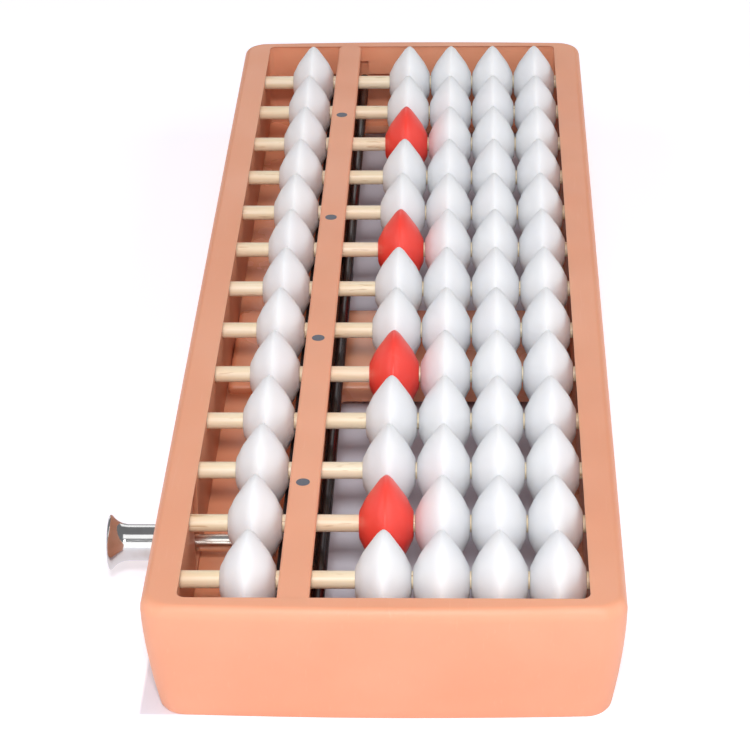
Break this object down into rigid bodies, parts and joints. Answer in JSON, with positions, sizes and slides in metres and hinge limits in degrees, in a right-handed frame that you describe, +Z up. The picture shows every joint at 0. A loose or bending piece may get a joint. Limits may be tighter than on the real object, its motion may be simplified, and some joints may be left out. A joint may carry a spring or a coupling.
{
  "type": "abacus",
  "caption": "Bead abacus in a moulded plastic tray frame: bicone beads slide on bamboo rods above and below a beam, and a spring button sweeps them all back to zero.",
  "frame": {"origin": "on the resting plane, under the middle of the whole object, button included", "axes": "+X along the frame to the end away from the button, +Y to the rail with the button (the deck of single beads), +Z up"},
  "size_m": [0.2, 0.074, 0.0224],
  "materials": {
    "salmon_plastic": "satin moulded polystyrene",
    "white_plastic": "glossy moulded plastic",
    "red_plastic": "glossy moulded plastic",
    "bamboo": "polished split bamboo",
    "blackened_steel": "blackened drawn wire",
    "chromed_steel": "bright plating",
    "zinc_steel": "zinc plated",
    "black_nylon": "moulded nylon"
  },
  "bodies": {
    "frame_unit": {"frame": "salmon_plastic", "beam": "salmon_plastic", "base_plate": "salmon_plastic", "return_spring": "zinc_steel", "lever_pivot_screw": "zinc_steel", "base_screw_1": "zinc_steel", "base_screw_2": "zinc_steel", "base_screw_3": "zinc_steel", "base_screw_4": "zinc_steel", "rod_01": "bamboo", "rod_02": "bamboo", "rod_03": "bamboo", "rod_04": "bamboo", "rod_05": "bamboo", "rod_06": "bamboo", "rod_07": "bamboo", "rod_08": "bamboo", "rod_09": "bamboo", "rod_10": "bamboo", "rod_11": "bamboo", "rod_12": "bamboo", "rod_13": "bamboo"},
    "button_unit": {"button_cap": "chromed_steel", "button_shaft": "chromed_steel", "drive_carrier": "black_nylon", "earth_bar": "blackened_steel", "earth_lever_carrier": "black_nylon"},
    "heaven_sweep": {"heaven_bar": "blackened_steel", "heaven_lever_carrier": "black_nylon"},
    "lever_unit": {"reversing_lever": "black_nylon"},
    "heaven_column_01": {"heaven_bead_01": "white_plastic"},
    "earth_column_01": {"earth_beads_01": "white_plastic"},
    "heaven_column_02": {"heaven_bead_02": "white_plastic"},
    "earth_column_02": {"earth_beads_02": "white_plastic"},
    "heaven_column_03": {"heaven_bead_03": "white_plastic"},
    "earth_column_03": {"earth_beads_03": "white_plastic", "earth_bead_red_03": "red_plastic"},
    "heaven_column_04": {"heaven_bead_04": "white_plastic"},
    "earth_column_04": {"earth_beads_04": "white_plastic"},
    "heaven_column_05": {"heaven_bead_05": "white_plastic"},
    "earth_column_05": {"earth_beads_05": "white_plastic"},
    "heaven_column_06": {"heaven_bead_06": "white_plastic"},
    "earth_column_06": {"earth_beads_06": "white_plastic", "earth_bead_red_06": "red_plastic"},
    "heaven_column_07": {"heaven_bead_07": "white_plastic"},
    "earth_column_07": {"earth_beads_07": "white_plastic"},
    "heaven_column_08": {"heaven_bead_08": "white_plastic"},
    "earth_column_08": {"earth_beads_08": "white_plastic"},
    "heaven_column_09": {"heaven_bead_09": "white_plastic"},
    "earth_column_09": {"earth_beads_09": "white_plastic", "earth_bead_red_09": "red_plastic"},
    "heaven_column_10": {"heaven_bead_10": "white_plastic"},
    "earth_column_10": {"earth_beads_10": "white_plastic"},
    "heaven_column_11": {"heaven_bead_11": "white_plastic"},
    "earth_column_11": {"earth_beads_11": "white_plastic"},
    "heaven_column_12": {"heaven_bead_12": "white_plastic"},
    "earth_column_12": {"earth_beads_12": "white_plastic", "earth_bead_red_12": "red_plastic"},
    "heaven_column_13": {"heaven_bead_13": "white_plastic"},
    "earth_column_13": {"earth_beads_13": "white_plastic"}
  },
  "joints": [
    {"name": "button_press", "type": "slide", "parent": "frame_unit", "child": "button_unit", "axis": [0, 1, 0], "range_m": [-0.0048, 0], "stiffness_N_per_m": 300, "springref_m": 0.002, "deforming": ["return_spring"]},
    {"name": "heaven_sweep_slide", "type": "slide", "parent": "frame_unit", "child": "heaven_sweep", "axis": [0, 1, 0], "range_m": [0, 0.0048]},
    {"name": "lever_turn", "type": "hinge", "parent": "frame_unit", "child": "lever_unit", "pos_m": [0, 0.0079, 0.0059], "axis": [0, 0, 1], "range_deg": [-12.5, 0]},
    {"name": "heaven_slide_01", "type": "slide", "parent": "heaven_sweep", "child": "heaven_column_01", "axis": [0, 1, 0], "range_m": [0, 0.00485]},
    {"name": "earth_slide_01", "type": "slide", "parent": "frame_unit", "child": "earth_column_01", "axis": [0, 1, 0], "range_m": [0, 0.00505]},
    {"name": "heaven_slide_02", "type": "slide", "parent": "heaven_sweep", "child": "heaven_column_02", "axis": [0, 1, 0], "range_m": [0, 0.00485]},
    {"name": "earth_slide_02", "type": "slide", "parent": "frame_unit", "child": "earth_column_02", "axis": [0, 1, 0], "range_m": [0, 0.00505]},
    {"name": "heaven_slide_03", "type": "slide", "parent": "heaven_sweep", "child": "heaven_column_03", "axis": [0, 1, 0], "range_m": [0, 0.00485]},
    {"name": "earth_slide_03", "type": "slide", "parent": "frame_unit", "child": "earth_column_03", "axis": [0, 1, 0], "range_m": [0, 0.00505]},
    {"name": "heaven_slide_04", "type": "slide", "parent": "heaven_sweep", "child": "heaven_column_04", "axis": [0, 1, 0], "range_m": [0, 0.00485]},
    {"name": "earth_slide_04", "type": "slide", "parent": "frame_unit", "child": "earth_column_04", "axis": [0, 1, 0], "range_m": [0, 0.00505]},
    {"name": "heaven_slide_05", "type": "slide", "parent": "heaven_sweep", "child": "heaven_column_05", "axis": [0, 1, 0], "range_m": [0, 0.00485]},
    {"name": "earth_slide_05", "type": "slide", "parent": "frame_unit", "child": "earth_column_05", "axis": [0, 1, 0], "range_m": [0, 0.00505]},
    {"name": "heaven_slide_06", "type": "slide", "parent": "heaven_sweep", "child": "heaven_column_06", "axis": [0, 1, 0], "range_m": [0, 0.00485]},
    {"name": "earth_slide_06", "type": "slide", "parent": "frame_unit", "child": "earth_column_06", "axis": [0, 1, 0], "range_m": [0, 0.00505]},
    {"name": "heaven_slide_07", "type": "slide", "parent": "heaven_sweep", "child": "heaven_column_07", "axis": [0, 1, 0], "range_m": [0, 0.00485]},
    {"name": "earth_slide_07", "type": "slide", "parent": "frame_unit", "child": "earth_column_07", "axis": [0, 1, 0], "range_m": [0, 0.00505]},
    {"name": "heaven_slide_08", "type": "slide", "parent": "heaven_sweep", "child": "heaven_column_08", "axis": [0, 1, 0], "range_m": [0, 0.00485]},
    {"name": "earth_slide_08", "type": "slide", "parent": "frame_unit", "child": "earth_column_08", "axis": [0, 1, 0], "range_m": [0, 0.00505]},
    {"name": "heaven_slide_09", "type": "slide", "parent": "heaven_sweep", "child": "heaven_column_09", "axis": [0, 1, 0], "range_m": [0, 0.00485]},
    {"name": "earth_slide_09", "type": "slide", "parent": "frame_unit", "child": "earth_column_09", "axis": [0, 1, 0], "range_m": [0, 0.00505]},
    {"name": "heaven_slide_10", "type": "slide", "parent": "heaven_sweep", "child": "heaven_column_10", "axis": [0, 1, 0], "range_m": [0, 0.00485]},
    {"name": "earth_slide_10", "type": "slide", "parent": "frame_unit", "child": "earth_column_10", "axis": [0, 1, 0], "range_m": [0, 0.00505]},
    {"name": "heaven_slide_11", "type": "slide", "parent": "heaven_sweep", "child": "heaven_column_11", "axis": [0, 1, 0], "range_m": [0, 0.00485]},
    {"name": "earth_slide_11", "type": "slide", "parent": "frame_unit", "child": "earth_column_11", "axis": [0, 1, 0], "range_m": [0, 0.00505]},
    {"name": "heaven_slide_12", "type": "slide", "parent": "heaven_sweep", "child": "heaven_column_12", "axis": [0, 1, 0], "range_m": [0, 0.00485]},
    {"name": "earth_slide_12", "type": "slide", "parent": "frame_unit", "child": "earth_column_12", "axis": [0, 1, 0], "range_m": [0, 0.00505]},
    {"name": "heaven_slide_13", "type": "slide", "parent": "heaven_sweep", "child": "heaven_column_13", "axis": [0, 1, 0], "range_m": [0, 0.00485]},
    {"name": "earth_slide_13", "type": "slide", "parent": "frame_unit", "child": "earth_column_13", "axis": [0, 1, 0], "range_m": [0, 0.00505]}
  ],
  "couplings": [
    {"joint": "heaven_sweep_slide", "follows": "button_press", "ratio": -1},
    {"joint": "lever_turn", "follows": "button_press", "rad_per_m": 44.5}
  ]
}
